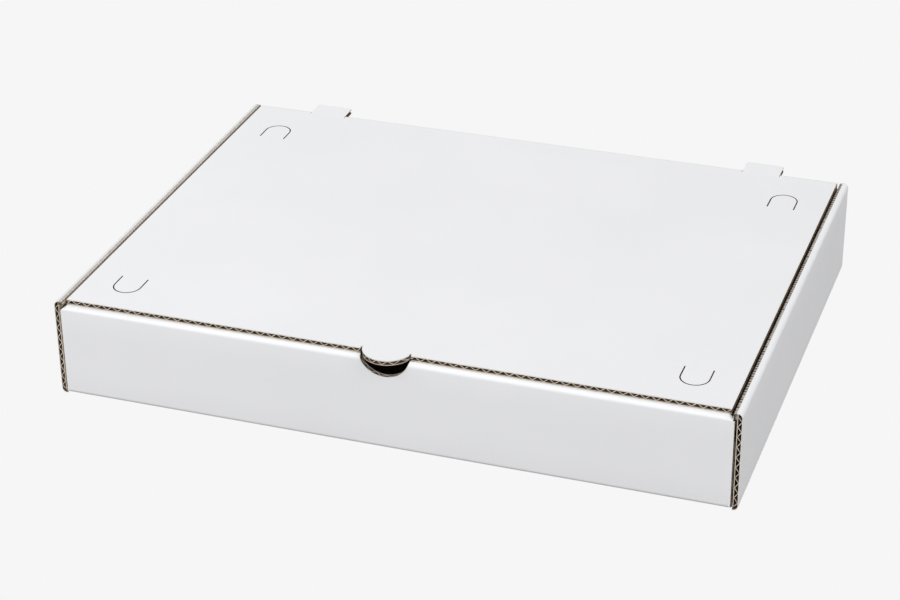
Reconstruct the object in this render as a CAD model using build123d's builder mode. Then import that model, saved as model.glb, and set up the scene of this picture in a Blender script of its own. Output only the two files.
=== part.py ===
from build123d import *
from math import cos, radians, sin
import os

# A pizza box folded from one die-cut sheet of corrugated board, lengths in millimetres.
# X runs across the front, Y from the front to the back and Z up.
# The origin is under the box, in the middle of its outline with the thumb tongue and the hinge tabs.

# Outer size of the folded box
box_width = 400.0
box_depth = 290.0
side_height = 60.0

# The board, its folds and the clearances between its layers
board = 3.0
fold_radius = 2.8
layer_gap = 0.3
corner_radius = 1.2
corner_gap = 0.4
cut_overrun = 5.0

# Paper of the board: two liners on a fluted core
liner = 0.4
flute_web = 0.35
flute_pitch = 6.3
flute_land = 0.6

# Rolled side walls: the crest with its perforated crease and the bulge of the inner board
crest_width = 5.2
crease_drop = 0.5
bulge_drop = 19.0
perforation_pitch = 6.3
perforation_length = 3.5
perforation_width = 0.8
perforation_depth = 1.2
perforation_margin = 3.0

# Lid
lid_proud = 0.5
lid_inset = 6.8
lid_setback = 3.2
lid_rest_gap = 0.3
hinge_gap = 0.5

# Thumb tongue of the lid, its relief cuts and the notch below it
tongue_radius = 14.3
tongue_inset = 4.4
relief_width = 1.2
relief_length = 2.2
notch_radius = 15.0
notch_rise = 4.0

# Sloped upper corners of the front and back walls
corner_run = 4.2
corner_fall = 3.1

# Hinge tabs and the holes they leave in the back wall
tab_width = 23.5
tab_reach = 10.3
tab_margin = 47.7
tab_corner = 1.5
tab_gap = 0.3
tab_swing_gap = 1.0

# U-shaped slits near the corners of the lid
slit_side_margin = 26.0
slit_width = 16.2
slit_length = 18.5
slit_front_margin = 17.2
slit_back_margin = 24.0
slit_kerf = 0.6

# Dust flaps inside the side walls
flap_length = 70.0
flap_taper = 14.0

# Lock tabs under the rolled walls and their slots in the base
lock_length = 42.0
lock_gap = 0.3
lock_lift = 0.4
lock_recess = 0.5
front_lock_spacing = 190.0
side_lock_spacing = 140.0

# Heights worked out from the sizes above
lid_top = side_height + lid_proud
lid_bottom = lid_top - board
front_top = lid_bottom - lid_rest_gap
bulge_top = side_height - bulge_drop
flap_bottom = board + layer_gap
flap_top = bulge_top - layer_gap
inner_bottom = board + lock_lift
tab_hole_bottom = lid_bottom - tab_reach - tab_swing_gap
wall_inner_top = front_top - board

# Places across the box
side_x = box_width / 2
side_inner_x = side_x - board
crest_x = side_x - crest_width
panel_half = side_inner_x - corner_gap
flap_inner_x = panel_half - board
bulge_x = flap_inner_x - layer_gap
bulge_inner_x = bulge_x - board
lid_half = side_x - lid_inset
tab_spacing = 2 * (lid_half - tab_margin)
slit_x = lid_half - slit_side_margin
merge_slope = (lid_bottom - bulge_top) / (crest_x - bulge_inner_x)
merge_height = bulge_top + (side_inner_x - bulge_x) * merge_slope

# Places along the box
double_wall = 2 * board + layer_gap
tongue_out = tongue_radius - tongue_inset - lid_setback
outline_depth = tongue_out + box_depth + tab_reach
front_y = tongue_out - outline_depth / 2
back_y = front_y + box_depth
middle_y = (front_y + back_y) / 2
front_inner_y = front_y + double_wall
back_inner_y = back_y - board
lid_front = front_y + lid_setback
lid_back = back_inner_y - hinge_gap
hinge_y = back_y - board * (1 - cos(radians(45)))
hinge_z = lid_top - board * (1 - sin(radians(45)))
os.makedirs("parts", exist_ok=True)


# One row of flutes seen end on, along X of the sketch: openings above and below the folded core in turn
def flute_row(row_length):
    mouth = (flute_pitch - flute_land) / 2
    mouth_height = board / 2 - liner
    tip_height = mouth_height - flute_web
    upper_count = int(row_length / flute_pitch)
    with GridLocations(flute_pitch, 0, upper_count, 1):
        Polygon((-mouth, mouth_height), (0, -tip_height), (mouth, mouth_height), align=None)
    with GridLocations(flute_pitch, 0, upper_count - 1, 1):
        Polygon((-mouth, -mouth_height), (mouth, -mouth_height), (0, tip_height), align=None)


# Tray: base, front wall, back wall, rolled side walls and the flaps they hold, all one folded sheet
with BuildPart() as tray:
    # Base, back wall and front wall with its rolled top
    with BuildSketch(Plane.YZ):
        with BuildLine():
            front_fold = RadiusArc((front_y, fold_radius), (front_y + fold_radius, 0), -fold_radius)
            back_fold = RadiusArc((back_y - fold_radius, 0), (back_y, fold_radius), -fold_radius)
            Line(front_fold @ 1, back_fold @ 0)
            Polyline(
                back_fold @ 1,
                (back_y, lid_bottom),
                (back_inner_y, lid_bottom),
                (back_inner_y, board),
                (front_y + board, board),
                (front_y + board, wall_inner_top),
                (front_inner_y, wall_inner_top),
                (front_inner_y, front_top - fold_radius),
            )
            inner_roll = RadiusArc(
                (front_inner_y, front_top - fold_radius),
                (front_inner_y - fold_radius, front_top),
                -fold_radius,
            )
            outer_roll = RadiusArc(
                (front_y + fold_radius, front_top),
                (front_y, front_top - fold_radius),
                -fold_radius,
            )
            Line(inner_roll @ 1, outer_roll @ 0)
            Line(outer_roll @ 1, front_fold @ 0)
        make_face()
    extrude(amount=panel_half, both=True)

    # The ends of the front and back walls turn in tight round folds
    with BuildSketch(Plane.XY.offset(fold_radius)):
        with BuildLine():
            front_corner = RadiusArc(
                (panel_half - corner_radius, front_y),
                (panel_half, front_y + corner_radius),
                -corner_radius,
            )
            Polyline(front_corner @ 1, (panel_half, front_y), front_corner @ 0)
        make_face()
        with BuildLine():
            back_corner = RadiusArc(
                (panel_half, back_y - corner_radius),
                (panel_half - corner_radius, back_y),
                -corner_radius,
            )
            Polyline(back_corner @ 1, (panel_half, back_y), back_corner @ 0)
        make_face()
        mirror(about=Plane.YZ)
    extrude(amount=side_height, mode=Mode.SUBTRACT)

    # Their upper corners slope down below the rolled side walls
    with BuildSketch(Plane.XZ.offset(-middle_y)):
        with BuildLine():
            Polyline(
                (panel_half - corner_run, lid_bottom),
                (panel_half, lid_bottom),
                (panel_half, front_top - corner_fall),
                close=True,
            )
        make_face()
        mirror(about=Plane.YZ)
    extrude(amount=box_depth, both=True, mode=Mode.SUBTRACT)

    # The inner board of the front wall
    with BuildSketch(Plane.YZ):
        with BuildLine():
            Polyline(
                (front_y + board + layer_gap, inner_bottom),
                (front_inner_y, inner_bottom),
                (front_inner_y, wall_inner_top),
                (front_y + board + layer_gap, wall_inner_top),
                close=True,
            )
        make_face()
    extrude(amount=bulge_x, both=True)

    # The round fold between the back wall and the lid
    with BuildSketch(Plane.YZ):
        with BuildLine():
            lid_fold = RadiusArc((back_y, lid_bottom), (back_inner_y, lid_top), -board)
            Polyline(lid_fold @ 1, (back_inner_y, lid_bottom), lid_fold @ 0)
        make_face()
    extrude(amount=lid_half, both=True)

    # Outer boards of the side walls, rolled over to the crease
    with BuildSketch(Plane.XZ.offset(-back_y)):
        with BuildLine():
            side_fold = RadiusArc((side_x - fold_radius, 0), (side_x, fold_radius), -fold_radius)
            side_roll = RadiusArc(
                (side_x, side_height - fold_radius),
                (side_x - fold_radius, side_height),
                -fold_radius,
            )
            Line(side_fold @ 1, side_roll @ 0)
            Polyline(
                side_roll @ 1,
                (crest_x, side_height - crease_drop),
                (crest_x, lid_bottom),
                (side_inner_x, lid_bottom),
                (side_inner_x, board),
                (panel_half, board),
                (panel_half, 0),
                side_fold @ 0,
            )
        make_face()
        mirror(about=Plane.YZ)
    extrude(amount=box_depth)

    # Their flutes run from the front end to the back end
    with BuildSketch(Plane.XZ.offset(-back_y)):
        with Locations(
            Location((side_x - board / 2, side_height / 2), -90),
            Location((board / 2 - side_x, side_height / 2), 90),
        ):
            flute_row(side_height - 2 * board)
    extrude(amount=box_depth, mode=Mode.SUBTRACT)

    # Inner boards of the side walls, which hang from the crease and bulge round the dust flaps
    with BuildSketch(Plane.XZ.offset(layer_gap - back_inner_y)):
        with BuildLine():
            Polyline(
                (side_inner_x, lid_bottom),
                (crest_x, lid_bottom),
                (bulge_inner_x, bulge_top),
                (bulge_inner_x, inner_bottom),
                (bulge_x, inner_bottom),
                (bulge_x, bulge_top),
                (side_inner_x, merge_height),
                close=True,
            )
        make_face()
        mirror(about=Plane.YZ)
    extrude(amount=back_inner_y - front_inner_y - 2 * layer_gap)

    # Perforation that lets the side walls roll over
    perforation_count = int((box_depth - 2 * perforation_margin) / perforation_pitch)
    crease_spacing = box_width - fold_radius - crest_width
    with BuildSketch(Plane.XY.offset(side_height)):
        with Locations((0, middle_y)):
            with GridLocations(crease_spacing, perforation_pitch, 2, perforation_count):
                Rectangle(perforation_width, perforation_length)
    extrude(amount=-perforation_depth, mode=Mode.SUBTRACT)

    # Dust flaps, folded in from the ends of the front and back walls
    for wall_y, inward in ((front_y + board, 1), (back_inner_y, -1)):
        flap_end = wall_y + inward * (flap_length - board)
        for flap_x in (-panel_half, flap_inner_x):
            with BuildSketch(Plane.YZ.offset(flap_x)):
                with BuildLine():
                    Polyline(
                        (wall_y, flap_bottom),
                        (flap_end, flap_bottom),
                        (flap_end, flap_top - flap_taper),
                        (flap_end - inward * flap_taper, flap_top),
                        (wall_y, flap_top),
                        close=True,
                    )
                make_face()
            extrude(amount=board)

    # Slots in the base for the lock tabs
    lock_front = front_inner_y - board / 2
    lock_side = bulge_inner_x + board / 2
    with BuildSketch():
        with GridLocations(front_lock_spacing, 0, 2, 1):
            with Locations((0, lock_front)):
                Rectangle(lock_length + 2 * lock_gap, board + 2 * lock_gap)
        with Locations((0, middle_y)):
            with GridLocations(2 * lock_side, side_lock_spacing, 2, 2):
                Rectangle(board + 2 * lock_gap, lock_length + 2 * lock_gap)
    extrude(amount=board, mode=Mode.SUBTRACT)

    # The lock tabs themselves
    with BuildSketch(Plane.XY.offset(lock_recess)):
        with GridLocations(front_lock_spacing, 0, 2, 1):
            with Locations((0, lock_front)):
                Rectangle(lock_length, board)
        with Locations((0, middle_y)):
            with GridLocations(2 * lock_side, side_lock_spacing, 2, 2):
                Rectangle(board, lock_length)
    extrude(amount=inner_bottom - lock_recess)

    # Upright flutes of the front wall that the thumb notch lays open
    with BuildSketch(Plane.XY.offset(board)):
        for layer_y in (front_y + board / 2, front_inner_y - board / 2):
            with Locations((0, layer_y)):
                flute_row(2 * notch_radius)
    extrude(amount=front_top - 2 * board, mode=Mode.SUBTRACT)

    # Thumb notch through both layers of the front wall
    with BuildSketch(Plane.XZ.offset(cut_overrun - front_y)):
        with Locations((0, front_top + notch_rise)):
            Circle(notch_radius)
    extrude(amount=-(double_wall + 2 * cut_overrun), mode=Mode.SUBTRACT)

    # Holes that the hinge tabs leave in the back wall and its fold
    tab_hole_height = lid_top + cut_overrun - tab_hole_bottom
    with BuildSketch(Plane.XZ.offset(-back_y - cut_overrun)):
        with Locations((0, tab_hole_bottom + tab_hole_height / 2)):
            with GridLocations(tab_spacing, 0, 2, 1):
                Rectangle(tab_width + 2 * tab_gap, tab_hole_height)
    extrude(amount=board + 2 * cut_overrun, mode=Mode.SUBTRACT)
tray.part.label = "tray"
export_step(tray.part, "parts/tray.step")


# Lid: the flat panel with its thumb tongue, hinge tabs and U-shaped slits
with BuildPart() as lid:
    with BuildSketch(Plane.XY.offset(lid_bottom)):
        with Locations((0, (lid_front + lid_back) / 2)):
            Rectangle(2 * lid_half, lid_back - lid_front)
        with Locations((0, lid_front + tongue_inset)):
            Circle(tongue_radius)
        with Locations((0, lid_back)):
            with GridLocations(tab_spacing, 0, 2, 1):
                tabs = Rectangle(tab_width, 2 * (back_y + tab_reach - lid_back))
        tab_tips = tabs.vertices().group_by(Axis.Y)[-1]
        fillet(tab_tips, tab_corner)
    extrude(amount=board)

    # Flutes from the front edge and the tongue to the back edge and the tabs
    with BuildSketch(Plane.XZ.offset(-back_y - tab_reach)):
        with Locations((0, lid_bottom + board / 2)):
            flute_row(2 * lid_half)
    extrude(amount=outline_depth, mode=Mode.SUBTRACT)

    # Relief cuts beside the tongue
    tongue_half = (tongue_radius**2 - tongue_inset**2) ** 0.5
    with BuildSketch(Plane.XY.offset(lid_bottom)):
        with Locations((0, lid_front)):
            with GridLocations(2 * tongue_half + relief_width, 0, 2, 1):
                SlotCenterToCenter(2 * relief_length - relief_width, relief_width, rotation=90)
    extrude(amount=board, mode=Mode.SUBTRACT)

    # U-shaped slits with their round ends towards the nearest edge
    slit_radius = slit_width / 2
    slit_leg = slit_length - slit_radius
    front_slit_y = lid_front + slit_front_margin + slit_radius
    back_slit_y = lid_back - slit_back_margin - slit_radius
    with BuildSketch(Plane.XY.offset(lid_bottom)):
        for centre_x in (-slit_x, slit_x):
            for slit_y, outward in ((front_slit_y, -1), (back_slit_y, 1)):
                with BuildLine():
                    round_end = ThreePointArc(
                        (centre_x - slit_radius, slit_y),
                        (centre_x, slit_y + outward * slit_radius),
                        (centre_x + slit_radius, slit_y),
                    )
                    Line(round_end @ 0, (centre_x - slit_radius, slit_y - outward * slit_leg))
                    Line(round_end @ 1, (centre_x + slit_radius, slit_y - outward * slit_leg))
                trace(line_width=slit_kerf)
    extrude(amount=board, mode=Mode.SUBTRACT)
lid.part.label = "lid"
export_step(lid.part, "parts/lid.step")

print("hinge at y", round(hinge_y, 3), "z", round(hinge_z, 3))
print("box from y", round(front_y, 3), "to", round(back_y, 3))
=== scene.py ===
import bpy
import bmesh
import math
from mathutils import Euler, Matrix, Vector
from mathutils.geometry import tessellate_polygon


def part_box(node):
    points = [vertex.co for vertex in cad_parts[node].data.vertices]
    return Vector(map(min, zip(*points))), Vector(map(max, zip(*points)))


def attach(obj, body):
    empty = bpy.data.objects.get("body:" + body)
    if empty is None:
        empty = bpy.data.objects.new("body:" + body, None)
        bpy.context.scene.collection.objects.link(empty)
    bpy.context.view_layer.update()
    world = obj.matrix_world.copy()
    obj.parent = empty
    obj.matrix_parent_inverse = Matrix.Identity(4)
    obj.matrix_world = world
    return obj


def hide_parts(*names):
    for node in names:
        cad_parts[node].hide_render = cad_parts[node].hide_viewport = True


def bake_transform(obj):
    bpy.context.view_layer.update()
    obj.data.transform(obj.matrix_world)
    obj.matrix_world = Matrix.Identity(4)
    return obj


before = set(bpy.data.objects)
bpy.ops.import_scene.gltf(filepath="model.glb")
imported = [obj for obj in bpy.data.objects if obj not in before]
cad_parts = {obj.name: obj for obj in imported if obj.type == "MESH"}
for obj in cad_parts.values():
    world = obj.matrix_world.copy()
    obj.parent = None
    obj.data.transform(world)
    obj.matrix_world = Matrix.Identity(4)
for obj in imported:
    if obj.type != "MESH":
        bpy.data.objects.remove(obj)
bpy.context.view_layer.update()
mm = 0.001   # every size below is in millimetres and every mesh is scaled by this once


def cadCorners(node):   # lowest and highest corner of a CAD node in millimetres
    low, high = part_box(node)
    return low / mm, high / mm


trayLow, trayHigh = cadCorners("tray")
lidLow, lidHigh = cadCorners("lid")
print("frame loaded", [round(v) for v in trayHigh - trayLow], [round(v) for v in lidHigh - lidLow])


# Corrugated board: two paper liners on a fluted core
board = {
    "thickness": 3.0,
    "liner": 0.4,
    "core": 0.38,
    "coreShare": 0.6,     # the core takes no more than this share of the board's thickness
    "coreClear": 0.02,    # and keeps this share clear of each face
    "pitch": 6.3,
    "pitchSteps": 14,     # rows of points along one flute
    "flutePoint": 0.09,   # 0 is a round wave, more is a pointed one
    "waver": ((0.35, 23.0), (0.2, 7.7)),   # how much the flutes stray, and over what length
    "swell": ((0.06, 5.1), (0.05, 1.9)),   # and how much their size changes
    "foldRadius": 2.8,
    "cornerRadius": 1.2,
    "cornerGap": 0.4,
    "layerGap": 0.3,
    "cutRecess": 0.15,    # the core stops this far behind a cut edge
    "sharpAngle": 35,     # degrees; edges that turn more than this stay sharp
}


# Materials

paperLook = {
    "cloudDetail": 5,
    "fibreDetail": 3,
    "fibreRoughness": 0.65,
    "fibreStretch": (1.0, 3.2, 1.0),   # fibres lie along X
    "tintRange": (0.32, 0.68),         # noise values that get the dark and the light tint
    "specular": 0.28,
    "grainStrength": 0.5,
    "washboardStrength": 0.6,
    "washboardHeight": 0.006,
}


def nodeTree(name):
    material = bpy.data.materials.new(name)
    material.use_nodes = True
    tree = material.node_tree
    return material, tree, tree.nodes["Principled BSDF"]


def makePaperGroup():   # mottled paper fibre: a tint for the colour and a height for the bump
    group = bpy.data.node_groups.new("paperFibre", "ShaderNodeTree")
    for label in ("Cloud Size", "Fibre Size", "Cloud Share"):
        socket = group.interface.new_socket(label, in_out="INPUT", socket_type="NodeSocketFloat")
        socket.min_value = 0.0
    for label in ("Tint", "Height"):
        group.interface.new_socket(label, in_out="OUTPUT", socket_type="NodeSocketFloat")
    nodes, links = group.nodes, group.links
    given = nodes.new("NodeGroupInput")
    result = nodes.new("NodeGroupOutput")
    place = nodes.new("ShaderNodeTexCoord")
    clouds = nodes.new("ShaderNodeTexNoise")
    clouds.inputs["Detail"].default_value = paperLook["cloudDetail"]
    fibres = nodes.new("ShaderNodeTexNoise")
    fibres.inputs["Detail"].default_value = paperLook["fibreDetail"]
    fibres.inputs["Roughness"].default_value = paperLook["fibreRoughness"]
    stretched = nodes.new("ShaderNodeMapping")
    stretched.inputs["Scale"].default_value = paperLook["fibreStretch"]
    mixed = nodes.new("ShaderNodeMix")
    mixed.data_type = "FLOAT"
    links.new(place.outputs["Object"], clouds.inputs["Vector"])
    links.new(place.outputs["Object"], stretched.inputs["Vector"])
    links.new(stretched.outputs["Vector"], fibres.inputs["Vector"])
    links.new(given.outputs["Cloud Size"], clouds.inputs["Scale"])
    links.new(given.outputs["Fibre Size"], fibres.inputs["Scale"])
    links.new(given.outputs["Cloud Share"], mixed.inputs["Factor"])
    links.new(fibres.outputs["Fac"], mixed.inputs["A"])
    links.new(clouds.outputs["Fac"], mixed.inputs["B"])
    links.new(mixed.outputs["Result"], result.inputs["Tint"])
    links.new(fibres.outputs["Fac"], result.inputs["Height"])
    return group


def makeFluteGroup():   # the faint washboard that the flutes press through a liner, along one axis
    group = bpy.data.node_groups.new("flutesThroughLiner", "ShaderNodeTree")
    group.interface.new_socket("Along", in_out="INPUT", socket_type="NodeSocketVector")
    group.interface.new_socket("Height", in_out="OUTPUT", socket_type="NodeSocketFloat")
    nodes, links = group.nodes, group.links
    given = nodes.new("NodeGroupInput")
    result = nodes.new("NodeGroupOutput")
    place = nodes.new("ShaderNodeTexCoord")
    reach = nodes.new("ShaderNodeVectorMath")
    reach.operation = "DOT_PRODUCT"
    turns = nodes.new("ShaderNodeMath")
    turns.operation = "MULTIPLY"
    turns.inputs[1].default_value = 2 * math.pi / (board["pitch"] * mm)
    wave = nodes.new("ShaderNodeMath")
    wave.operation = "SINE"
    links.new(place.outputs["Object"], reach.inputs[0])
    links.new(given.outputs["Along"], reach.inputs[1])
    links.new(reach.outputs["Value"], turns.inputs[0])
    links.new(turns.outputs["Value"], wave.inputs[0])
    links.new(wave.outputs["Value"], result.inputs["Height"])
    return group


paperFibre = makePaperGroup()
flutesThroughLiner = makeFluteGroup()

papers = {
    # name: dark and light tint, roughness, cloud size, fibre size, cloud share, bump height in millimetres
    "whiteLiner": ((0.835, 0.838, 0.852), (0.862, 0.864, 0.876), 0.62, 14, 900, 0.75, 0.012),
    "kraftLiner": ((0.38, 0.26, 0.16), (0.49, 0.35, 0.225), 0.8, 30, 700, 0.4, 0.012),
    "rawEdge": ((0.54, 0.46, 0.36), (0.76, 0.68, 0.57), 0.9, 160, 2400, 0.6, 0.06),
    # the flute core: its brown darkened far below kraft, painted shade for the hollows of the flutes; the same
    # dark colour serves as painted shade in creases, cuts and gaps
    "fluteCoreAndShade": ((0.09, 0.062, 0.042), (0.18, 0.13, 0.092), 0.9, 120, 2000, 0.6, 0.04),
    "whiteEdge": ((0.66, 0.62, 0.57), (0.82, 0.80, 0.77), 0.85, 160, 2400, 0.6, 0.04),
    "tornStrip": ((0.43, 0.415, 0.38), (0.61, 0.59, 0.55), 0.9, 260, 2400, 0.6, 0.08),
}


def makePaper(name, along=None):   # along: the axis across the flutes that show through a white liner
    dark, light, roughness, cloudSize, fibreSize, cloudShare, bumpHeight = papers[name]
    material, tree, surface = nodeTree(name if along is None else name + "Across" + along[0])
    nodes, links = tree.nodes, tree.links
    fibre = nodes.new("ShaderNodeGroup")
    fibre.node_tree = paperFibre
    fibre.inputs["Cloud Size"].default_value = cloudSize
    fibre.inputs["Fibre Size"].default_value = fibreSize
    fibre.inputs["Cloud Share"].default_value = cloudShare
    tints = nodes.new("ShaderNodeValToRGB")
    for stop, place, tint in zip(tints.color_ramp.elements, paperLook["tintRange"], (dark, light)):
        stop.position = place
        stop.color = (*tint, 1)
    links.new(fibre.outputs["Tint"], tints.inputs["Fac"])
    links.new(tints.outputs["Color"], surface.inputs["Base Color"])
    surface.inputs["Roughness"].default_value = roughness
    surface.inputs["Specular IOR Level"].default_value = paperLook["specular"]
    grain = nodes.new("ShaderNodeBump")
    grain.inputs["Strength"].default_value = paperLook["grainStrength"]
    grain.inputs["Distance"].default_value = bumpHeight * mm
    links.new(fibre.outputs["Height"], grain.inputs["Height"])
    if along is not None:
        flutes = nodes.new("ShaderNodeGroup")
        flutes.node_tree = flutesThroughLiner
        flutes.inputs["Along"].default_value = along[1]
        washboard = nodes.new("ShaderNodeBump")
        washboard.inputs["Strength"].default_value = paperLook["washboardStrength"]
        washboard.inputs["Distance"].default_value = paperLook["washboardHeight"] * mm
        links.new(flutes.outputs["Height"], washboard.inputs["Height"])
        links.new(washboard.outputs["Normal"], grain.inputs["Normal"])
    links.new(grain.outputs["Normal"], surface.inputs["Normal"])
    return material


whiteAcrossX = makePaper("whiteLiner", ("X", (1, 0, 0)))
whiteAcrossZ = makePaper("whiteLiner", ("Z", (0, 0, 1)))
kraftLiner = makePaper("kraftLiner")
rawEdge = makePaper("rawEdge")
fluteCoreAndShade = makePaper("fluteCoreAndShade")
whiteEdge = makePaper("whiteEdge")
tornStrip = makePaper("tornStrip")
# core is the dark flute-core colour, which also serves as painted shade in hollows, creases, cuts and gaps
white, kraft, edge, core, paleEdge, torn = range(6)   # places in each piece's list of materials
sharedPapers = (kraftLiner, rawEdge, fluteCoreAndShade, whiteEdge, tornStrip)   # those after the white one
print("papers made")


# Mesh helpers, in millimetres

def line(start, end, count=1):
    return [tuple(a + (b - a) * i / count for a, b in zip(start, end)) for i in range(count + 1)]


def arc(centre, radius, fromAngle, toAngle, count=8):
    angles = [math.radians(fromAngle + (toAngle - fromAngle) * i / count) for i in range(count + 1)]
    return [(centre[0] + radius * math.cos(a), centre[1] + radius * math.sin(a)) for a in angles]


def stretch(path, outer, inner):   # adds one run of a board's outer and inner faces to its path
    inner = inner if len(inner) == len(outer) else [inner[0]] * len(outer)
    for pair in zip(outer, inner):
        if not path or any((Vector(new) - Vector(old)).length > 1e-4 for new, old in zip(pair, path[-1])):
            path.append(pair)


def resample(path, step):   # evenly spaced pairs of points along the middle of a board
    middles = [(Vector(a) + Vector(b)) / 2 for a, b in path]
    lengths = [0.0]
    for a, b in zip(middles, middles[1:]):
        lengths.append(lengths[-1] + (b - a).length)
    count = max(2, round(lengths[-1] / step))
    result = []
    at = 0
    for i in range(count + 1):
        target = lengths[-1] * i / count
        while at < len(lengths) - 2 and lengths[at + 1] < target:
            at += 1
        span = lengths[at + 1] - lengths[at]
        share = (target - lengths[at]) / span if span > 1e-9 else 0.0
        outer = Vector(path[at][0]).lerp(Vector(path[at + 1][0]), share)
        inner = Vector(path[at][1]).lerp(Vector(path[at + 1][1]), share)
        result.append((target, outer, inner))
    return result


def fluteWave(run):   # -1 to 1 along a cut edge, a little uneven as real flutes are
    phase = 2 * math.pi * run / board["pitch"]
    for amount, length in board["waver"]:
        phase += amount * math.sin(run / length)
    size = 1.0
    for amount, length in board["swell"]:
        size -= amount * math.sin(run / length)
    return size * (math.sin(phase) - board["flutePoint"] * math.sin(3 * phase))


def slab(mesh, top, bottom, topFinish, bottomFinish, rimFinish, endFinish=None):
    # A closed plate between two grids of points, with its first and last rows finished as its ends
    rows, columns = len(top), len(top[0])
    upper = [[mesh.verts.new(Vector(p)) for p in row] for row in top]
    lower = [[mesh.verts.new(Vector(p)) for p in row] for row in bottom]

    def face(corners, finish):
        made = mesh.faces.new(corners)
        made.material_index = finish
        made.smooth = True

    for i in range(rows - 1):
        for j in range(columns - 1):
            face((upper[i][j], upper[i + 1][j], upper[i + 1][j + 1], upper[i][j + 1]), topFinish)
            face((lower[i][j], lower[i][j + 1], lower[i + 1][j + 1], lower[i + 1][j]), bottomFinish)
    for i in range(rows - 1):
        for j in (0, columns - 1):
            face((upper[i][j], upper[i + 1][j], lower[i + 1][j], lower[i][j]), rimFinish)
    for j in range(columns - 1):
        for i in (0, rows - 1):
            face((upper[i][j], upper[i][j + 1], lower[i][j + 1], lower[i][j]),
                 rimFinish if endFinish is None else endFinish)


def asObject(mesh, name, whitePaper):   # frees the mesh and puts an object with its shape in the scene
    bmesh.ops.recalc_face_normals(mesh, faces=mesh.faces)
    data = bpy.data.meshes.new(name)
    mesh.to_mesh(data)
    mesh.free()
    for paper in (whitePaper, *sharedPapers):
        data.materials.append(paper)
    made = bpy.data.objects.new(name, data)
    bpy.context.scene.collection.objects.link(made)
    return made


def finished(mesh, name, node, whitePaper, bend=None):   # a mesh in millimetres becomes a piece of the object
    for vertex in mesh.verts:
        vertex.co *= mm
    piece = asObject(mesh, name, whitePaper)
    piece.data.set_sharp_from_angle(angle=math.radians(board["sharpAngle"]))
    if bend is None:
        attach(piece, node)
    else:
        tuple(bend[0])
        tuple(bend[1])
        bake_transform(piece)
    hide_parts(node)


def cutAway(mesh, cutter, finish):   # a new mesh without what lies inside the cutter; frees the old one
    solid = asObject(mesh, "uncut", whiteAcrossX)
    for side in cutter.data.polygons:
        side.material_index = finish
    change = solid.modifiers.new("cut", "BOOLEAN")
    change.operation = "DIFFERENCE"
    change.solver = "EXACT"
    change.object = cutter
    bpy.context.view_layer.update()
    shape = bpy.data.meshes.new_from_object(solid.evaluated_get(bpy.context.evaluated_depsgraph_get()))
    cut = bmesh.new()
    cut.from_mesh(shape)
    bpy.data.meshes.remove(shape)
    bpy.data.objects.remove(solid)
    return cut


def cutterFrom(outline, start, end):   # a prism of an outline in X and Z, used for cuts and then deleted
    mesh = bmesh.new()
    ends = [[mesh.verts.new((x, y, z)) for x, z in outline] for y in (start, end)]
    for loop in ends:
        mesh.faces.new(loop)
    for i in range(len(outline)):
        k = (i + 1) % len(outline)
        mesh.faces.new((ends[0][i], ends[0][k], ends[1][k], ends[1][i]))
    return asObject(mesh, "cutter", whiteAcrossX)


def cutBoard(path, levels, place, cutters, **options):   # a board along a path, cut layer by layer
    joined = bmesh.new()
    for layer in ("outer", "inner", "core"):
        mesh = bmesh.new()
        boardAlong(mesh, path, levels, place, layers=(layer,), **options)
        for cutter in cutters:
            # every cut face takes the pale white-liner edge colour: the outer liner's own, and painted light on
            # the inner liner and core, which brightens the notch rim shaded by the lid
            mesh = cutAway(mesh, cutter, paleEdge)
        shape = bpy.data.meshes.new("layer")
        mesh.to_mesh(shape)
        mesh.free()
        joined.from_mesh(shape)
        bpy.data.meshes.remove(shape)
    for cutter in cutters:
        bpy.data.objects.remove(cutter)
    return joined


def boardAlong(mesh, path, levels, place, fluted="path", coreLevels=None, layers=("outer", "inner", "core")):
    # A board whose faces follow a path, with both liners and, where it is fluted, the core between them
    pairs = [(Vector(a), Vector(b)) for a, b in path]

    def behindLiner(a, b):
        across = (b - a).length
        return a + (b - a) * min(0.5, board["liner"] / across) if across > 1e-6 else a.copy()

    # the liners' inner faces take the dark core colour: painted shade in the hollows between the flutes
    if "outer" in layers:
        top = [[place(a, v) for v in levels] for a, b in pairs]
        low = [[place(behindLiner(a, b), v) for v in levels] for a, b in pairs]
        slab(mesh, top, low, white, core, paleEdge)
    if "inner" in layers:
        top = [[place(behindLiner(b, a), v) for v in levels] for a, b in pairs]
        low = [[place(b, v) for v in levels] for a, b in pairs]
        slab(mesh, top, low, core, kraft, edge)
    if "core" not in layers:
        return
    if fluted == "path":
        rows = resample(path, board["pitch"] / board["pitchSteps"])
        cuts = [levels[0] + board["cutRecess"], levels[-1] - board["cutRecess"]]
        top, low = ([[place(coreFace(a, b, run, side), v) for v in cuts] for run, a, b in rows]
                    for side in (-1, 1))
        slab(mesh, top, low, core, core, edge, core)
    elif fluted == "axis":
        start, end = coreLevels
        count = round((end - start) / board["pitch"] * board["pitchSteps"])
        steps = [start + (end - start) * i / count for i in range(count + 1)]
        top, low = ([[place(coreFace(a, b, v, side), v) for v in steps] for a, b in pairs]
                    for side in (-1, 1))
        slab(mesh, top, low, core, core, edge)


def coreFace(outer, inner, run, side):   # one face of the fluted core between two faces of the board
    across = (inner - outer).length
    if across < 1e-6:
        return outer.copy()
    room = max(0.0, across / 2 - board["liner"] - board["core"] / 2)
    slope = room * 2 * math.pi / board["pitch"] * math.cos(2 * math.pi * run / board["pitch"])
    paper = min(board["core"] * math.sqrt(1 + slope * slope), across * board["coreShare"])
    depth = across / 2 + fluteWave(run) * room + side * paper / 2
    clear = board["coreClear"]
    return outer + (inner - outer) * min(max(depth / across, clear), 1 - clear)


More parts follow.
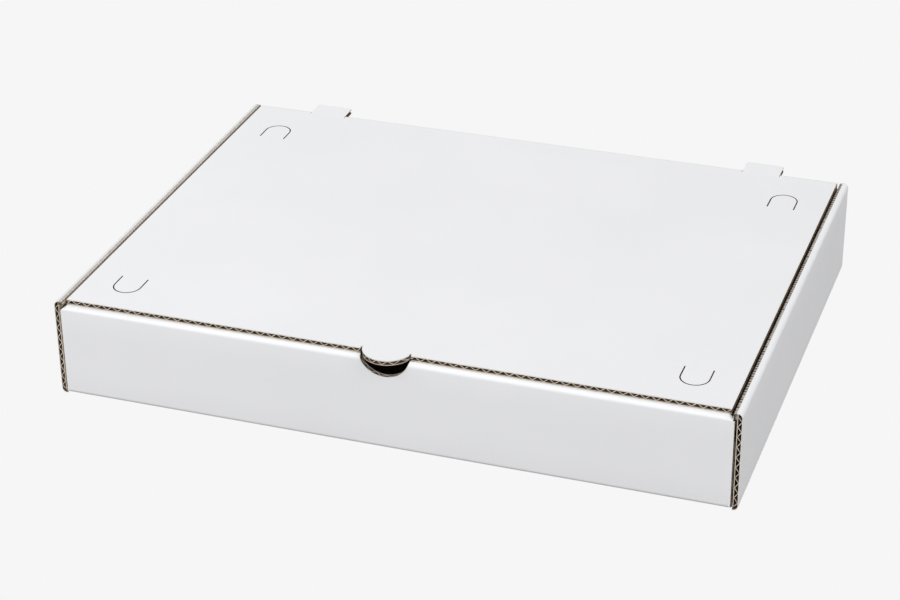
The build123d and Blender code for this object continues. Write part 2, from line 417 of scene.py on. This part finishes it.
# Sizes that several pieces share, worked out from the CAD boxes
sideX = trayHigh.x
height = 60.0   # of the side walls
frontY, backY = trayLow.y, trayHigh.y
lidBottom, lidTop = lidLow.z, lidHigh.z
thick = board["thickness"]
fold = board["foldRadius"]
gap = board["layerGap"]
sideInner = sideX - thick
panelHalf = sideInner - board["cornerGap"]
flapInner = panelHalf - thick
bulgeOuter = flapInner - gap
bulgeInner = bulgeOuter - thick
doubleWall = 2 * thick + gap


# Side walls

sideWall = {
    "crest": 5.2,               # width of the fold along the top
    "creaseDrop": 0.5,
    "crestTop": 1.2,            # the board behind the strip starts this far below the crease
    "crushed": 1.8,             # board left over the inside of the fold
    "leans": (0.1, 0.4, 0.5),   # its inner face moves in by this at the round, the top and the crest
    "hangDrop": 1.5,            # the hanging board's hidden face starts this far below the lid
    "bulgeTop": 41.0,
    "innerBottom": 3.4,
    "leftCutDepth": 0.3,        # the cuts gape more on the right wall
    "rightCutDepth": 1.15,
    "leftShadeShare": 0.62,      # from this share of its width on, the strip takes the dark core colour: painted shade in the valley beside the lid
    "rightShadeShare": 0.8,
    "leftStripFrom": 2.8,       # from the outer face to the strip
    "rightStripFrom": 3.4,
}
perforation = {
    "pitch": 2.8,
    "cut": 1.7,
    "slope": 0.3,
    "firstCut": 0.3,        # of a pitch, from the wall's front end
    "endMargin": 1.0,       # no cut ends closer than this to the wall's back end
    "outerProfile": ((0.0, 0.0), (0.12, 0.3), (0.26, 1.0)),   # share of the width and of the depth
    "innerProfile": ((0.88, 1.0), (1.0, 0.8)),
    "strip": 0.22,          # the torn strip lies this far below the liner
    "rimSlope": 6,          # it drops to there within one part in so many of its width
    "ragged": ((0.07, 2.3, 9), (0.05, 5.9, 0)),   # size, turns along the wall, drift across the strip
    "foot": 0.15,           # its underside lies this far below the inside of the fold
    "shadeBelow": 1.05,      # deeper than this a cut takes the dark core colour: painted shade inside the cut
}


def makeSideWall(sign, side):
    cutDepth, stripFrom, darkShare = (sideWall[side + part] for part in ("CutDepth", "StripFrom", "ShadeShare"))
    stripX = sideX - stripFrom
    crestX = sideX - sideWall["crest"]
    creaseZ = height - sideWall["creaseDrop"]
    apexZ = height - sideWall["crushed"]
    roundX, topX, innerX = (sideInner - lean for lean in sideWall["leans"])
    hangZ = lidBottom - sideWall["hangDrop"]

    def place(point, level):
        return (sign * point[0], level, point[1])

    outerBoard = []
    stretch(outerBoard, line((panelHalf, 0), (sideX - fold, 0)), line((panelHalf, thick), (sideInner, thick)))
    stretch(outerBoard, arc((sideX - fold, fold), fold, -90, 0), [(sideInner, thick)])
    stretch(outerBoard, line((sideX, fold), (sideX, height - fold), 4),
            line((sideInner, thick), (sideInner, height - fold), 4))
    stretch(outerBoard, arc((sideX - fold, height - fold), fold, 0, 90),
            line((sideInner, height - fold), (roundX, apexZ), 8))
    stretch(outerBoard, line((sideX - fold, height), (stripX, height)), line((roundX, apexZ), (topX, apexZ)))
    crestZ = creaseZ - sideWall["crestTop"]
    crest = [((crestX, crestZ), (innerX, apexZ))]
    stretch(crest, line((crestX, crestZ), (crestX, lidBottom), 2), line((innerX, apexZ), (innerX, hangZ), 2))
    innerBoard = []
    bulgeTop, bottom = sideWall["bulgeTop"], sideWall["innerBottom"]
    stretch(innerBoard, line((crestX, lidBottom), (bulgeInner, bulgeTop), 3),
            line((innerX, hangZ), (bulgeOuter, bulgeTop), 3))
    stretch(innerBoard, line((bulgeInner, bulgeTop), (bulgeInner, bottom)),
            line((bulgeOuter, bulgeTop), (bulgeOuter, bottom)))

    mesh = bmesh.new()
    boardAlong(mesh, outerBoard, [frontY, backY], place)
    before = len(mesh.faces)
    boardAlong(mesh, crest, [frontY, backY], place, fluted=None)
    # painted shade: the crest's white liner is painted kraft brown, for the dark gap between the lid and the
    # side wall
    repaint(mesh, before, white, kraft)
    boardAlong(mesh, innerBoard, [frontY + doubleWall + gap, backY - thick - gap], place)
    addPerforation(mesh, place, (stripX, height), (crestX, creaseZ), apexZ, cutDepth, darkShare)
    finished(mesh, side + "SideWall", "tray", whiteAcrossZ)


def repaint(mesh, first, old, new, test=None):   # another finish for some of the faces made since the first
    mesh.faces.ensure_lookup_table()
    for face in mesh.faces[first:]:
        if face.material_index == old and (test is None or test(face.calc_center_median())):
            face.material_index = new


def addPerforation(mesh, place, outerEdge, innerEdge, apexZ, cutDepth, darkShare):   # the torn strip
    p = perforation
    levels = [(frontY, 0.0)]
    start = frontY + p["pitch"] * p["firstCut"]
    while start + p["cut"] < backY - p["endMargin"]:
        for along, gape in ((0.0, 0.0), (p["slope"], 1.0), (p["cut"] - p["slope"], 1.0), (p["cut"], 0.0)):
            levels.append((start + along, gape))
        start += p["pitch"]
    levels.append((backY, 0.0))

    def acrossStrip(share):
        return tuple(a + (b - a) * share for a, b in zip(outerEdge, innerEdge))

    top, low = [], []
    for share, depth in (*p["outerProfile"], (darkShare, 1.0), *p["innerProfile"]):
        x, z = acrossStrip(share)
        rim = p["strip"] * min(1.0, p["rimSlope"] * share, p["rimSlope"] * (1 - share))
        row = []
        for y, gape in levels:
            ragged = sum(size * math.sin(y * turns + share * drift) for size, turns, drift in p["ragged"])
            row.append(place((x, z - rim - gape * depth * cutDepth + ragged * depth), y))
        top.append(row)
        low.append([place((x, apexZ - p["foot"]), y) for y, gape in levels])
    before = len(mesh.faces)
    slab(mesh, top, low, torn, edge, core, edge)
    # painted shade: the strip's inner part and its deeper cuts take the dark core colour
    shadeX = acrossStrip(darkShare)[0]
    repaint(mesh, before, torn, core,
            lambda centre: centre.z < height - p["shadeBelow"] or abs(centre.x) < shadeX)


makeSideWall(1, "right")
makeSideWall(-1, "left")
print("side walls made")


# Front and back walls

endWall = {
    "topGap": 0.3,              # the front wall ends this far under the lid
    "frontShift": -0.35,        # it sits a little to the left between the side walls
    "frontSlack": 0.3,          # and its right end stops this much shorter
    "cornerRun": 4.2,           # slope at the upper corners, under the side folds
    "cornerFall": 3.1,
    "columns": (-60, -25, 25, 60),   # where the front wall's faces are divided
    "rollFrom": 0.05,           # behind the outer board by this, a wall keeps between the bulges
    "notchRadius": 15.0,
    "innerNotchRadius": 17.3,   # wider in the inner board, so that it stays out of sight
    "notchRise": 4.0,           # centre of the notch above the wall's top
    "notchSteps": 96,
    "notchReach": 8,            # the cutter goes past the wall by this
    "coreHalf": 30.0,           # the core is made this far to each side of the notch
    "tabX": 145.5,
    "tabHoleWidth": 24.1,
    "tabHoleBottom": 46.2,
    "tabHoleReach": 5,          # and that of the tab holes by this
}
lidFold = {
    "reach": 2.0,                           # it takes this much of the back wall and of the lid
    "steps": 5,
    "roundRuns": ((180, 144), (126, 90)),   # degrees; a flat step lies between them
    "roundSteps": 4,
    "outerBlend": (2.05, 1.8),              # behind the wall's inner face; short, as no point may turn half-way
    "innerBlend": (-0.1, -0.4),
}
frontTop = lidBottom - endWall["topGap"]
cornerStart = panelHalf - board["cornerRadius"]
slopeStart = panelHalf - endWall["cornerRun"]


def cornerSlope(x):   # height of a wall's cut upper corner
    fall = lidBottom - frontTop + endWall["cornerFall"]
    return lidBottom - (abs(x) - slopeStart) * fall / endWall["cornerRun"]


def wallPlace(faceY, inward, shift=0.0, slack=0.0):   # places (depth, height) and x on the front or back wall
    def place(point, x):
        depth, z = point
        if depth > thick + endWall["rollFrom"]:
            x = max(-bulgeOuter, min(bulgeOuter, x))
        if abs(x) > slopeStart:
            z = min(z, cornerSlope(x))
        if x > slopeStart:
            x -= slack
        return (x + shift, faceY + inward * depth, z)
    return place


def makeFrontWall():
    path = []
    stretch(path, arc((fold, fold), fold, 270, 180), [(thick, thick)])
    stretch(path, line((0, fold), (0, frontTop - fold), 4), line((thick, thick), (thick, frontTop - thick), 4))
    stretch(path, arc((fold, frontTop - fold), fold, 180, 90), [(thick, frontTop - thick)])
    stretch(path, line((fold, frontTop), (doubleWall - fold, frontTop)),
            line((thick, frontTop - thick), (thick + gap, frontTop - thick)))
    stretch(path, arc((doubleWall - fold, frontTop - fold), fold, 90, 0), [(thick + gap, frontTop - thick)])
    stretch(path, line((doubleWall, frontTop - fold), (doubleWall, sideWall["innerBottom"]), 4),
            line((thick + gap, frontTop - thick), (thick + gap, sideWall["innerBottom"]), 4))
    middle = (0, frontTop + endWall["notchRise"])
    reach = endWall["notchReach"]
    notches = [cutterFrom(arc(middle, endWall[radius], 0, 360, endWall["notchSteps"])[:-1],
                          frontY + start, frontY + doubleWall + reach)
               for radius, start in (("notchRadius", -reach), ("innerNotchRadius", thick + gap / 2))]
    ends = [-cornerStart, -slopeStart, *endWall["columns"], slopeStart, cornerStart]
    place = wallPlace(frontY, 1, endWall["frontShift"], endWall["frontSlack"])
    mesh = cutBoard(path, ends, place, notches, fluted="axis",
                    coreLevels=(-endWall["coreHalf"], endWall["coreHalf"]))
    finished(mesh, "frontWall", "tray", whiteAcrossX)


def makeBackWall():
    path = []
    stretch(path, arc((fold, fold), fold, 270, 180), [(thick, thick)])
    top = lidBottom - lidFold["reach"]
    stretch(path, line((0, fold), (0, top), 4), line((thick, thick), (thick, top), 4))
    holes = []
    half, reach = endWall["tabHoleWidth"] / 2, endWall["tabHoleReach"]
    for x in (-endWall["tabX"], endWall["tabX"]):
        outline = [(x - half, endWall["tabHoleBottom"]), (x + half, endWall["tabHoleBottom"]),
                   (x + half, lidTop + reach), (x - half, lidTop + reach)]
        holes.append(cutterFrom(outline, backY - thick - reach, backY + reach))
    ends = [-cornerStart, -slopeStart, 0, slopeStart, cornerStart]
    mesh = cutBoard(path, ends, wallPlace(backY, -1), holes, fluted=None)
    finished(mesh, "backWall", "tray", whiteAcrossX)


makeFrontWall()
makeBackWall()
print("front and back walls made")


# Corner folds and the dust flaps that they carry inside the side walls

dustFlap = {
    "length": 70.0,
    "taper": 14.0,
    "top": 40.7,
    "bottom": 3.3,
    "cornerBottom": 1.0,
    "cornerReach": 0.3,   # the corner's own bottom goes this far past the fold
    "creaseShade": 5.0,   # painted shade: the liner at the corner takes the dark core colour up to here, for the slot against the side wall
    "creaseFrom": 0.7,    # of the corner's radius
}


def makeDustFlap(sign, faceY, inward, name):
    shift = endWall["frontShift"] if inward > 0 else 0.0
    if inward > 0 and sign > 0:
        shift -= endWall["frontSlack"]
    length = dustFlap["length"]
    slopeFrom = length - dustFlap["taper"]
    shaded = fold + dustFlap["creaseShade"]

    def place(point, level):
        x, depth = point
        return (sign * x + shift, faceY + inward * depth, level(x, depth))

    def bottomLevel(x, depth):
        return dustFlap["cornerBottom"] if depth < fold + dustFlap["cornerReach"] else dustFlap["bottom"]

    def cornerLevel(x, depth):
        return cornerSlope(x) if abs(x) > slopeStart else frontTop

    def flapLevel(x, depth):
        return dustFlap["top"] - max(0.0, depth - slopeFrom)

    corner = []
    radius = board["cornerRadius"]
    stretch(corner, arc((cornerStart, radius), radius, 270, 360), [(flapInner, thick)])
    flap = []
    outerFrom, innerFrom = fold, thick
    for level in (shaded, slopeFrom, length):
        stretch(flap, line((panelHalf, outerFrom), (panelHalf, level)),
                line((flapInner, innerFrom), (flapInner, level)))
        outerFrom = innerFrom = level
    mesh = bmesh.new()
    boardAlong(mesh, corner, [bottomLevel, cornerLevel], place, fluted=None)
    boardAlong(mesh, flap, [bottomLevel, flapLevel], place, fluted=None)
    creaseX = cornerStart + dustFlap["creaseFrom"] * radius
    # painted shade: the corner's far half and the near part of the flap take the dark core colour
    repaint(mesh, 0, white, core,
            lambda centre: sign * (centre.x - shift) > creaseX and abs(centre.y - faceY) < shaded)
    finished(mesh, name, "tray", whiteAcrossX)


for sign, side in ((1, "Right"), (-1, "Left")):
    makeDustFlap(sign, frontY, 1, "front" + side + "Flap")
    makeDustFlap(sign, backY, -1, "back" + side + "Flap")
print("dust flaps made")


# Flat boards: the base with its lock slots and the lid

def flatSheet(mesh, loops, top, bottom, topFinish, bottomFinish, rimFinish):   # a closed sheet with holes
    upper = [[mesh.verts.new((x, y, top)) for x, y in loop] for loop in loops]
    lower = [[mesh.verts.new((x, y, bottom)) for x, y in loop] for loop in loops]
    triangles = tessellate_polygon([[Vector((x, y, 0)) for x, y in loop] for loop in loops])
    for finish, rings in ((topFinish, upper), (bottomFinish, lower)):
        points = [v for ring in rings for v in ring]
        for corners in triangles:
            if len(set(corners)) == 3:
                made = mesh.faces.new([points[c] for c in corners])
                made.material_index = finish
    for number, (above, below) in enumerate(zip(upper, lower)):
        for i in range(len(above)):
            k = (i + 1) % len(above)
            made = mesh.faces.new((above[i], above[k], below[k], below[i]))
            # the walls of holes take the dark core colour: painted shade inside the slits and slots
            made.material_index = rimFinish if number == 0 else core


def rectangle(centreX, centreY, width, depth):
    halfX, halfY = width / 2, depth / 2
    return [(centreX - halfX, centreY - halfY), (centreX + halfX, centreY - halfY),
            (centreX + halfX, centreY + halfY), (centreX - halfX, centreY + halfY)]


lockTabs = {
    "length": 42.0,
    "gap": 0.3,       # between a tab and its slot
    "recess": 0.5,    # the tabs' ends stay this far above the base's underside
    "frontSpacing": 190.0,
    "sideSpacing": 140.0,
}


def lockPlaces():   # centre, width and depth of each lock tab
    middleY = (frontY + backY) / 2
    frontLock = frontY + doubleWall - thick / 2
    sideLock = bulgeInner + thick / 2
    places = [(x * lockTabs["frontSpacing"] / 2, frontLock, lockTabs["length"], thick) for x in (-1, 1)]
    for x in (-1, 1):
        for y in (-1, 1):
            places.append((x * sideLock, middleY + y * lockTabs["sideSpacing"] / 2, thick, lockTabs["length"]))
    return places


def makeBase():
    outline = [(-panelHalf, frontY + fold), (panelHalf, frontY + fold),
               (panelHalf, backY - fold), (-panelHalf, backY - fold)]
    slots = [rectangle(x, y, w + 2 * lockTabs["gap"], d + 2 * lockTabs["gap"]) for x, y, w, d in lockPlaces()]
    mesh = bmesh.new()
    liner = board["liner"]
    flatSheet(mesh, [outline] + slots, liner, 0, core, white, paleEdge)
    flatSheet(mesh, [outline] + slots, thick, thick - liner, kraft, core, edge)
    for x, y, w, d in lockPlaces():
        flatSheet(mesh, [rectangle(x, y, w, d)], sideWall["innerBottom"], lockTabs["recess"], edge, edge, edge)
    finished(mesh, "base", "tray", whiteAcrossX)


makeBase()
print("base made")


lidPanel = {
    "half": lidHigh.x,
    "front": frontY + 3.2,   # the front wall's top shows before it
    "back": backY - thick - lidFold["reach"],
    "tongueRadius": 14.3,
    "tongueInset": 4.4,
    "reliefWidth": 1.2,
    "reliefLength": 2.2,
    "tabX": endWall["tabX"],
    "tabHalf": 11.75,
    "tabCorner": 1.5,
    "tabLift": 0.3,         # the tabs rise this much to their tips
    "topLiner": 0.6,        # swollen a little at the cut edges
    "bottomLiner": 0.35,
    "slitX": 167.2,
    "slitWidth": 16.2,
    "slitLength": 18.5,
    "slitFrontMargin": 17.2,
    "slitBackMargin": 24.0,
    "slitKerf": 0.8,
}
tongueHalf = math.sqrt(lidPanel["tongueRadius"] ** 2 - lidPanel["tongueInset"] ** 2)


def lidOutline():
    p = lidPanel
    tongueY = p["front"] + p["tongueInset"]
    opening = math.degrees(math.asin(tongueHalf / p["tongueRadius"]))
    cut = p["reliefWidth"] / 2
    points = [(-p["half"], p["front"]), (-tongueHalf - p["reliefWidth"], p["front"])]
    reliefY = p["front"] + p["reliefLength"] - cut
    points += arc((-tongueHalf - cut, reliefY), cut, 180, 0, 8)
    points += arc((0, tongueY), p["tongueRadius"], 270 - opening, 270 + opening, 40)
    points += arc((tongueHalf + cut, reliefY), cut, 180, 0, 8)
    points += [(tongueHalf + p["reliefWidth"], p["front"]), (p["half"], p["front"])]
    return points + [(p["half"], p["back"]), (-p["half"], p["back"])]


def tabOutline(x):
    right, left = x + lidPanel["tabHalf"], x - lidPanel["tabHalf"]
    tip, corner = lidHigh.y, lidPanel["tabCorner"]
    rounded = arc((right - corner, tip - corner), corner, 0, 90, 5)
    rounded += arc((left + corner, tip - corner), corner, 90, 180, 5)
    return [(right, lidPanel["back"])] + rounded + [(left, lidPanel["back"])]


def slitOutline(centreX, bendY, outward):   # a thin U with its round end towards the lid's edge
    radius, half = lidPanel["slitWidth"] / 2, lidPanel["slitKerf"] / 2
    leg = lidPanel["slitLength"] - radius
    outerBend = arc((0, 0), radius + half, 180, 0, 20)
    innerBend = arc((0, 0), radius - half, 0, 180, 20)
    shape = [(-radius - half, -leg)] + outerBend + [(radius + half, -leg), (radius - half, -leg)]
    shape += innerBend + [(-radius + half, -leg)]
    return [(centreX + x, bendY + outward * y) for x, y in shape]


def lidSlits():
    p = lidPanel
    radius = p["slitWidth"] / 2
    frontBend = p["front"] + p["slitFrontMargin"] + radius
    backBend = p["back"] - p["slitBackMargin"] - radius
    return [slitOutline(x, y, outward) for x in (-p["slitX"], p["slitX"])
            for y, outward in ((frontBend, -1), (backBend, 1))]


def lidFrontEdge(x):   # where the lid's front edge runs at a place across it
    p = lidPanel
    if abs(x) < tongueHalf:
        return p["front"] + p["tongueInset"] - math.sqrt(p["tongueRadius"] ** 2 - x * x)
    if abs(x) < tongueHalf + p["reliefWidth"]:
        return p["front"] + p["reliefLength"]
    return p["front"]


def lidBackEdge(x):   # the core stops short of the tabs' sides
    insideTab = abs(abs(x) - lidPanel["tabX"]) < lidPanel["tabHalf"] - lidPanel["tabCorner"]
    return lidHigh.y if insideTab else lidPanel["back"]


def makeLid():
    mesh = bmesh.new()
    # the tabs' cut sides take the dark core colour: painted shade for the gaps beside the tabs
    tabs = [([tabOutline(x)], core, core) for x in (lidPanel["tabX"], -lidPanel["tabX"])]
    for loops, topRim, bottomRim in [([lidOutline()] + lidSlits(), paleEdge, edge)] + tabs:
        flatSheet(mesh, loops, lidTop, lidTop - lidPanel["topLiner"], white, core, topRim)
        flatSheet(mesh, loops, lidBottom + lidPanel["bottomLiner"], lidBottom, core, kraft, bottomRim)
    recess = board["cutRecess"]
    half = lidPanel["half"] - recess
    crease = lidPanel["back"] - 2 * recess
    count = round(2 * half / board["pitch"] * board["pitchSteps"])
    top, low = [], []
    for i in range(count + 1):
        x = -half + 2 * half * i / count
        front, back = lidFrontEdge(x) + recess, lidBackEdge(x) - recess
        for rows, side in ((top, -1), (low, 1)):
            z = coreFace(Vector((0, lidTop)), Vector((0, lidBottom)), x, side).y
            rows.append([(x, y, z) for y in (front, crease, back)])
    # the core's ends at the lid's sides take the dark core colour: painted shade on the lid's side edges
    slab(mesh, top, low, core, core, edge, core)
    for vertex in mesh.verts:
        beyond = vertex.co.y - lidPanel["back"]
        if beyond > 0:
            vertex.co.z += lidPanel["tabLift"] * beyond / (lidHigh.y - lidPanel["back"])
    finished(mesh, "lidPanel", "lid", whiteAcrossX)


makeLid()
print("lid made")


# The fold between the back wall and the lid

foldLow, foldFar = lidBottom - lidFold["reach"], thick + lidFold["reach"]


def makeLidFold(name, layer, finish):
    # One skin of the fold, painted alike on both sides, since its back can show when the lid is open
    path = []
    centre, steps = (thick, lidBottom), lidFold["steps"]
    stretch(path, line((0, foldLow), (0, lidBottom), steps), line((thick, foldLow), centre, steps))
    for roundStart, roundEnd in lidFold["roundRuns"]:
        stretch(path, arc(centre, thick, roundStart, roundEnd, lidFold["roundSteps"]), [centre])
    stretch(path, line((thick, lidTop), (foldFar, lidTop), steps), line(centre, (foldFar, lidBottom), steps))
    holeHalf = endWall["tabHoleWidth"] / 2
    inner, outer = endWall["tabX"] - holeHalf, endWall["tabX"] + holeHalf
    mesh = bmesh.new()

    def place(point, x):
        return (x, backY - point[0], point[1])

    for start, end in ((-lidPanel["half"], -outer), (-inner, inner), (outer, lidPanel["half"])):
        boardAlong(mesh, path, [start, end], place, fluted=None, layers=(layer,))
    repaint(mesh, 0, core, finish)
    bend = [(0, (backY - thick + behind) * mm, lidTop * mm) for behind in lidFold[layer + "Blend"]]
    finished(mesh, name, "tray", whiteAcrossX, bend)


makeLidFold("lidFold", "outer", white)
makeLidFold("lidFoldInside", "inner", kraft)
print("lid fold made")


# Stage: pale floor, soft light and the camera

stage = {
    "floorSize": 30.0,
    "floorDrop": 0.0002,
    "backdrop": 0.9205,     # what the camera sees of the floor and the background
    "floorBounce": 0.23,    # how light the floor is for everything else
    "skyLight": 0.497,
    "keyPower": 31.0,       # soft box in front on the left
    "keySize": 1.4,
    "keyPlace": (-1.5, -1.8, 1.8),
    "sideStrength": 0.62,   # broad lights from the right and from the front
    "sideFrom": (0.8, -0.2, 0.5),
    "frontStrength": 1.12,
    "frontFrom": (0.5, -0.7, 0.6),
    "spread": 50.0,
}


def paleShader(tree, backdrop, bounce):   # one even tone for the camera and a dimmer one for the light
    nodes, links = tree.nodes, tree.links
    seen = nodes.new("ShaderNodeLightPath")
    camera, other = (nodes.new("ShaderNodeEmission") for i in range(2))
    camera.inputs["Color"].default_value = (1, 1, 1, 1)
    camera.inputs["Strength"].default_value = backdrop
    other.inputs["Color"].default_value = (1, 1, 1, 1)
    other.inputs["Strength"].default_value = bounce
    chosen = nodes.new("ShaderNodeMixShader")
    links.new(seen.outputs["Is Camera Ray"], chosen.inputs["Fac"])
    links.new(other.outputs["Emission"], chosen.inputs[1])
    links.new(camera.outputs["Emission"], chosen.inputs[2])
    return chosen


def makeStage():
    mesh = bmesh.new()
    half = stage["floorSize"] / 2
    corners = ((-half, -half), (half, -half), (half, half), (-half, half))
    mesh.faces.new([mesh.verts.new((x, y, -stage["floorDrop"])) for x, y in corners])
    data = bpy.data.meshes.new("floor")
    mesh.to_mesh(data)
    mesh.free()
    floor = bpy.data.objects.new("floor", data)
    bpy.context.scene.collection.objects.link(floor)
    paper = bpy.data.materials.new("paleFloor")
    paper.use_nodes = True
    paper.node_tree.nodes.clear()
    output = paper.node_tree.nodes.new("ShaderNodeOutputMaterial")
    shader = paleShader(paper.node_tree, stage["backdrop"], stage["floorBounce"])
    paper.node_tree.links.new(shader.outputs["Shader"], output.inputs["Surface"])
    data.materials.append(paper)

    world = bpy.data.worlds.new("studio")
    bpy.context.scene.world = world
    world.use_nodes = True
    world.node_tree.nodes.clear()
    output = world.node_tree.nodes.new("ShaderNodeOutputWorld")
    shader = paleShader(world.node_tree, stage["backdrop"], stage["skyLight"])
    world.node_tree.links.new(shader.outputs["Shader"], output.inputs["Surface"])

    key = bpy.data.lights.new("key", "AREA")
    key.shape = "DISK"
    key.size = stage["keySize"]
    key.energy = stage["keyPower"]
    addLamp(key, stage["keyPlace"])
    for name in ("side", "front"):
        broad = bpy.data.lights.new(name, "SUN")
        broad.energy = stage[name + "Strength"]
        broad.angle = math.radians(stage["spread"])
        addLamp(broad, stage[name + "From"])


def addLamp(light, place):   # puts a light at a place and turns it towards the origin
    lamp = bpy.data.objects.new(light.name, light)
    lamp.location = place
    lamp.rotation_mode = "QUATERNION"
    lamp.rotation_quaternion = Vector(place).to_track_quat("Z", "Y")
    bpy.context.scene.collection.objects.link(lamp)


view = {
    "place": (0.41196, -1.21364, 0.71578),
    "azimuth": 19.2775,
    "elevation": 28.5527,
    "roll": -0.5866,
    "lens": 96.733,
    "sensor": 36,
    "clip": (0.05, 60),
}


def makeCamera():
    data = bpy.data.cameras.new("camera")
    data.sensor_width = view["sensor"]
    data.lens = view["lens"]
    data.clip_start, data.clip_end = view["clip"]
    camera = bpy.data.objects.new("camera", data)
    turned = Euler((math.radians(90 - view["elevation"]), 0, math.radians(view["azimuth"]))).to_matrix()
    rolled = turned @ Matrix.Rotation(math.radians(view["roll"]), 3, "Z")
    camera.matrix_world = Matrix.Translation(view["place"]) @ rolled.to_4x4()
    bpy.context.scene.collection.objects.link(camera)
    bpy.context.scene.camera = camera


makeStage()
makeCamera()
bpy.context.scene.view_settings.view_transform = "Standard"
print("stage made")
